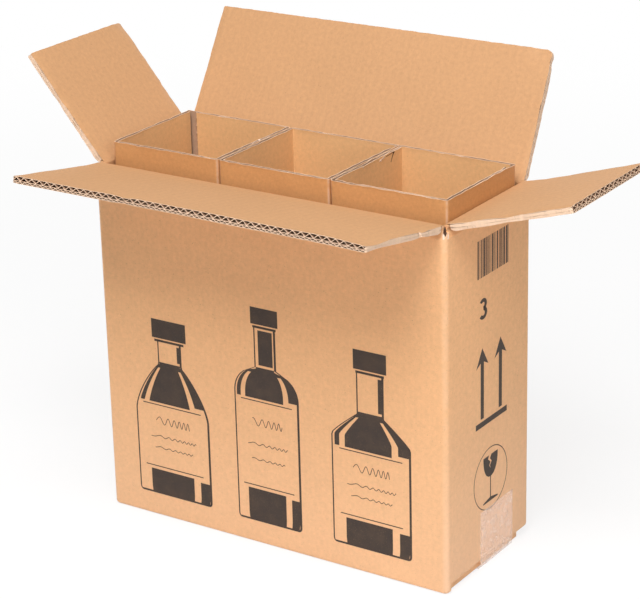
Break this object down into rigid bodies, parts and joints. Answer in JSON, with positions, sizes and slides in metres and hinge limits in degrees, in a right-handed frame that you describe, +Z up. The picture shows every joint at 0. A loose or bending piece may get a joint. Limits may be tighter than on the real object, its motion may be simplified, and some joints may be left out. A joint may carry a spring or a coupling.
{
  "type": "bottle shipping box",
  "caption": "Upright double-wall corrugated carton with hinged top flaps and square single-wall sleeves that hold bottles for shipping.",
  "frame": {"origin": "middle of the base, on the surface it stands on", "axes": "+Z up; the wide printed front panel faces -Y; +X to the right as seen from the front"},
  "size_m": [0.4796, 0.2791, 0.3796],
  "materials": {
    "carton_board": "matt brown kraft liner, double-wall corrugated",
    "sleeve_board": "matt brown kraft liner, single-wall corrugated",
    "tape": "clear film with a slightly milky shine"
  },
  "bodies": {
    "carton": {"carton_shell": "carton_board", "sleeve_left": "sleeve_board", "sleeve_middle": "sleeve_board", "sleeve_right": "sleeve_board", "packing_tape": "tape"},
    "front_flap": {"top_flap_front": "carton_board"},
    "back_flap": {"top_flap_back": "carton_board"},
    "left_flap": {"top_flap_left": "carton_board"},
    "right_flap": {"top_flap_right": "carton_board"}
  },
  "joints": [
    {"name": "front_fold", "type": "hinge", "parent": "carton", "child": "front_flap", "pos_m": [0, -0.0601, 0.289], "axis": [1, 0, 0], "range_deg": [-80, 50]},
    {"name": "back_fold", "type": "hinge", "parent": "carton", "child": "back_flap", "pos_m": [0, 0.0601, 0.289], "axis": [-1, 0, 0], "range_deg": [-31, 99]},
    {"name": "left_fold", "type": "hinge", "parent": "carton", "child": "left_flap", "pos_m": [-0.1551, 0, 0.289], "axis": [0, -1, 0], "range_deg": [-40, 90]},
    {"name": "right_fold", "type": "hinge", "parent": "carton", "child": "right_flap", "pos_m": [0.1551, 0, 0.289], "axis": [0, 1, 0], "range_deg": [-73, 57]}
  ]
}
